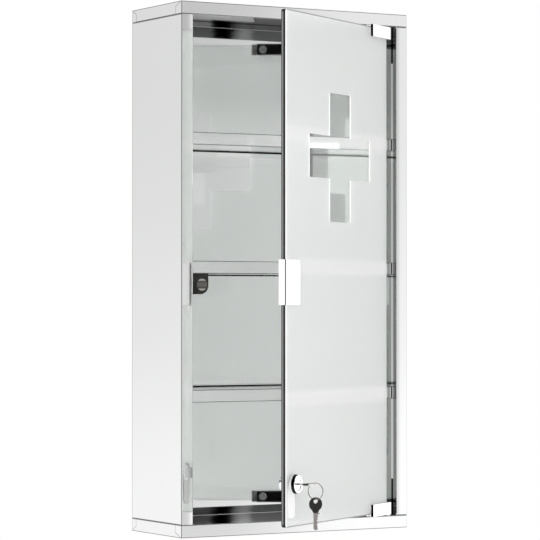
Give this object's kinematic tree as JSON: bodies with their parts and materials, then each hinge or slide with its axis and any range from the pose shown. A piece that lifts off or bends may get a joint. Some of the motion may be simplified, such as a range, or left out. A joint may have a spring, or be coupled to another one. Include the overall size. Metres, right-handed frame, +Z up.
{
  "type": "lockable medicine cabinet",
  "caption": "Wall-hung stainless steel medicine cabinet with open shelves and a frosted glass door on pivot clamps, with a magnetic catch, a cam lock, a key and a spare on a ring.",
  "frame": {"origin": "centre of the four wall screw holes, on the rear face of the back panel", "axes": "+X to the right seen from the front, +Y into the wall, +Z up"},
  "size_m": [0.3, 0.274, 0.6],
  "materials": {
    "steel": "bright rolled stainless sheet",
    "steel_mirror": "mirror polished stainless sheet",
    "glass": "clear, with ground edges",
    "frosting": "matt frosted",
    "chrome": "polished plating",
    "white_plastic": "moulded",
    "black_plastic": "moulded",
    "clear_pad": "soft clear pad",
    "black_rubber": "gasket",
    "magnet": "ferrite",
    "plated_steel": "zinc plated",
    "nickel": "nickel plated"
  },
  "bodies": {
    "cabinet": {"top_cap": "steel", "bottom_cap": "steel", "left_side_panel": "steel", "right_side_panel": "steel", "back_panel": "steel_mirror", "ceiling_panel": "steel_mirror", "floor_panel": "steel_mirror", "upper_shelf": "steel", "middle_shelf": "steel", "lower_shelf": "steel", "shelf_rivets": "plated_steel", "upper_bearing": "white_plastic", "lower_bearing": "white_plastic", "lower_washer": "white_plastic", "catch_body": "black_plastic", "catch_magnet": "magnet", "catch_poles": "plated_steel", "catch_screws": "plated_steel"},
    "door": {"door_glass": "glass", "frosting": "frosting", "handle": "chrome", "handle_pad": "clear_pad", "upper_clamp": "chrome", "upper_clamp_pads": "clear_pad", "upper_clamp_cover": "black_plastic", "upper_clamp_screw": "plated_steel", "upper_pin": "plated_steel", "lower_clamp": "chrome", "lower_clamp_pads": "clear_pad", "lower_clamp_cover": "black_plastic", "lower_clamp_screw": "plated_steel", "lower_pin": "plated_steel", "lock_gasket": "black_rubber", "lock_housing": "chrome", "lock_backplate": "white_plastic", "lock_nut": "plated_steel"},
    "lock_cylinder": {"lock_plug": "chrome", "lock_cam": "plated_steel", "cam_screw": "plated_steel"},
    "lock_key": {"key_head": "black_plastic", "key_blade": "nickel"},
    "key_ring": {"key_ring": "nickel"},
    "spare_key": {"spare_key_head": "black_plastic", "spare_key_blade": "nickel"}
  },
  "joints": [
    {"name": "door_swing", "type": "hinge", "parent": "cabinet", "child": "door", "pos_m": [0.1245, -0.1113, 0], "axis": [0, 0, 1], "range_deg": [-31.45, 78.55]},
    {"name": "lock_turn", "type": "hinge", "parent": "door", "child": "lock_cylinder", "pos_m": [-0.07783, -0.23645, -0.2348], "axis": [-0.5218, 0.8531, 0], "range_deg": [0, 180]},
    {"name": "key_withdraw", "type": "slide", "parent": "lock_cylinder", "child": "lock_key", "axis": [0.5218, -0.8531, 0], "range_m": [0, 0.018]},
    {"name": "ring_swing", "type": "hinge", "parent": "lock_key", "child": "key_ring", "pos_m": [-0.06593, -0.2559, -0.2348], "axis": [0.5218, -0.8531, 0], "range_deg": [-20, 20]},
    {"name": "spare_key_swing", "type": "hinge", "parent": "key_ring", "child": "spare_key", "pos_m": [-0.06348, -0.25991, -0.2509], "axis": [0.5218, -0.8531, 0], "range_deg": [-25, 25]}
  ]
}
